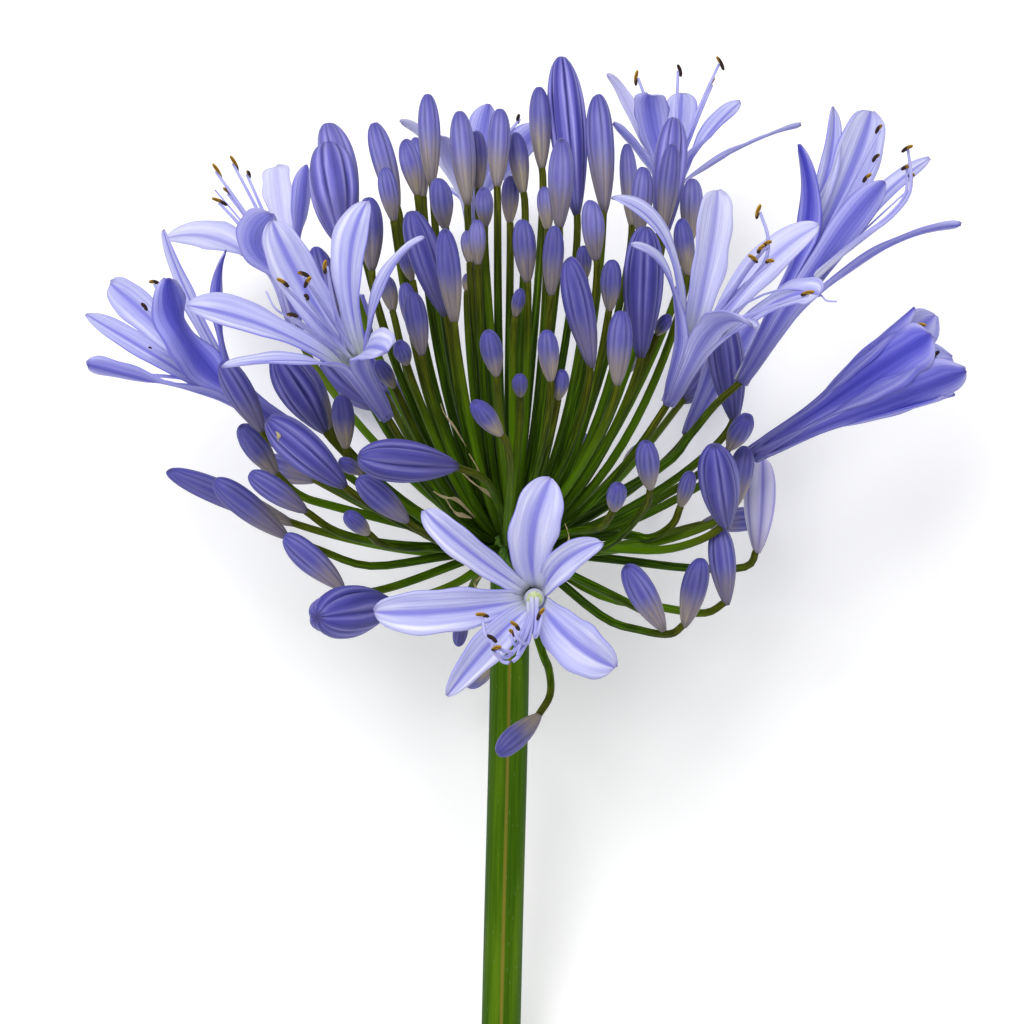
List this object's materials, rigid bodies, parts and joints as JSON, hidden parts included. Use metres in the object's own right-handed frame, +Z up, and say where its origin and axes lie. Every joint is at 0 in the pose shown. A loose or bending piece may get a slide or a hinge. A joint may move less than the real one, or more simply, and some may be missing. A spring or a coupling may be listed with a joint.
{
  "type": "agapanthus flower head",
  "caption": "Cut agapanthus umbel lying on its back: round head of lilac blooms and violet buds on thin green pedicels, on a short leafless stem.",
  "frame": {"origin": "on the surface that the cut flower lies on, under the middle of its box", "axes": "+Z up from the surface, +Y along the stem from its cut end towards the head, +X to the right of the head seen from its front"},
  "size_m": [0.1751, 0.2319, 0.1228],
  "materials": {
    "stalk": "satin",
    "tepal": "matte"
  },
  "bodies": {
    "root": {"umbel": "stalk", "bloom_front": "tepal", "bloom_left_front": "tepal", "bloom_far_left": "tepal", "bloom_back_left": "tepal", "bloom_back_right": "tepal", "bloom_right_front": "tepal", "bloom_right_high": "tepal", "bloom_right_trumpet": "tepal", "bloom_back_top": "tepal", "bloom_back_low_left": "tepal", "bloom_back_low_right": "tepal"}
  },
  "joints": []
}
